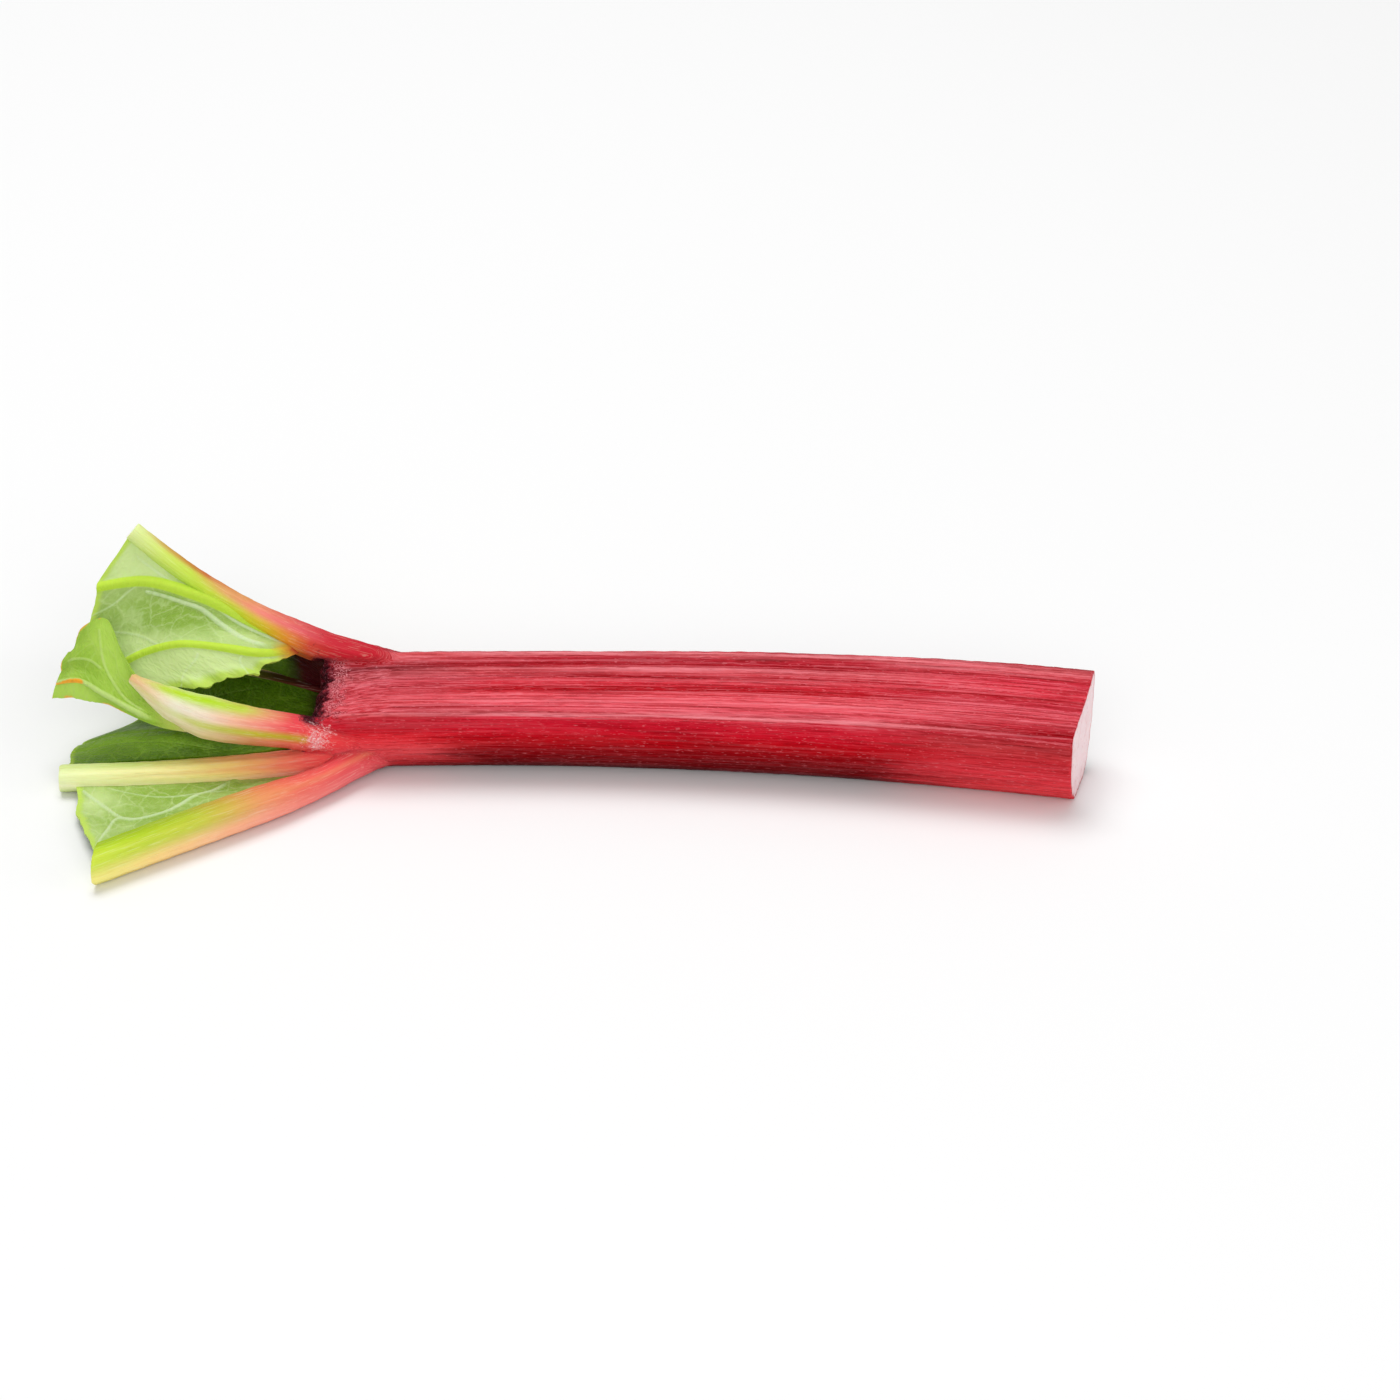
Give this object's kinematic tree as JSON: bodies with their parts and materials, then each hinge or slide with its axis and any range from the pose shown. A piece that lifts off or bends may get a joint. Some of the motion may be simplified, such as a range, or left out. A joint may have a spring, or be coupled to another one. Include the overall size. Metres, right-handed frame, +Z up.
{
  "type": "rhubarb stalk",
  "caption": "Trimmed rhubarb stalk: ridged red leaf stalk with a channelled upper face and a slanted cut end, fanning out into ribs with remnants of green leaf between them.",
  "frame": {"origin": "middle of the underside of the bounding box, on the surface that the stalk lies on", "axes": "+X along the stalk towards its thick cut end, +Z up, the channelled face up and leaning towards -Y"},
  "size_m": [0.3324, 0.1392, 0.07],
  "materials": {
    "stalk_flesh": "satin, ridged plant skin, red running to lime green along the ribs",
    "leaf": "satin leaf, pale green underneath and dark green above"
  },
  "bodies": {
    "root": {"stalk": "stalk_flesh", "upper_leaf_blade": "leaf", "back_leaf_blade": "leaf", "floor_leaf_blade": "leaf", "front_leaf_blade": "leaf", "curled_leaf_blade": "leaf"}
  },
  "joints": []
}
